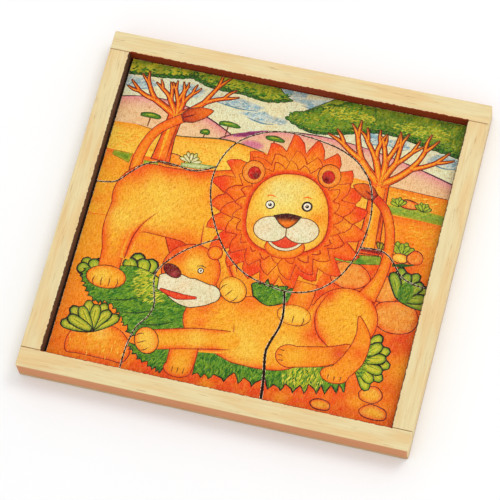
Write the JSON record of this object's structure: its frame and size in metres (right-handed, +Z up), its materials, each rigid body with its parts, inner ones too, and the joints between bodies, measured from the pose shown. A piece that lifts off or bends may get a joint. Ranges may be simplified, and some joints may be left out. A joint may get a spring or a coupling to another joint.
{
  "type": "wooden tray puzzle",
  "caption": "Shallow wooden tray with a printed picture sawn into plywood tiles that lift out; long rails over butted side rails on a thin base board.",
  "frame": {"origin": "centre of the tray's underside", "axes": "+Z up, out of the picture; +Y towards the top edge of the picture; +X towards its right edge"},
  "size_m": [0.19, 0.18, 0.012],
  "materials": {
    "rail_wood": "sanded, clear matt lacquer",
    "base_wood": "bare thin plywood",
    "printed_plywood": "coloured print on bare plywood, matt; pale plies at the sawn edges"
  },
  "bodies": {
    "tray": {"base_board": "base_wood", "top_rail": "rail_wood", "bottom_rail": "rail_wood", "left_rail": "rail_wood", "right_rail": "rail_wood"},
    "sky_piece": {"sky_tile": "printed_plywood"},
    "head_piece": {"head_tile": "printed_plywood"},
    "standing_lion_piece": {"standing_lion_tile": "printed_plywood"},
    "lying_lion_piece": {"lying_lion_tile": "printed_plywood"},
    "rocks_piece": {"rocks_tile": "printed_plywood"}
  },
  "joints": [
    {"name": "sky_lift", "type": "slide", "parent": "tray", "child": "sky_piece", "axis": [0, 0, 1], "range_m": [0, 0.025]},
    {"name": "head_lift", "type": "slide", "parent": "tray", "child": "head_piece", "axis": [0, 0, 1], "range_m": [0, 0.025]},
    {"name": "standing_lion_lift", "type": "slide", "parent": "tray", "child": "standing_lion_piece", "axis": [0, 0, 1], "range_m": [0, 0.025]},
    {"name": "lying_lion_lift", "type": "slide", "parent": "tray", "child": "lying_lion_piece", "axis": [0, 0, 1], "range_m": [0, 0.025]},
    {"name": "rocks_lift", "type": "slide", "parent": "tray", "child": "rocks_piece", "axis": [0, 0, 1], "range_m": [0, 0.025]}
  ]
}
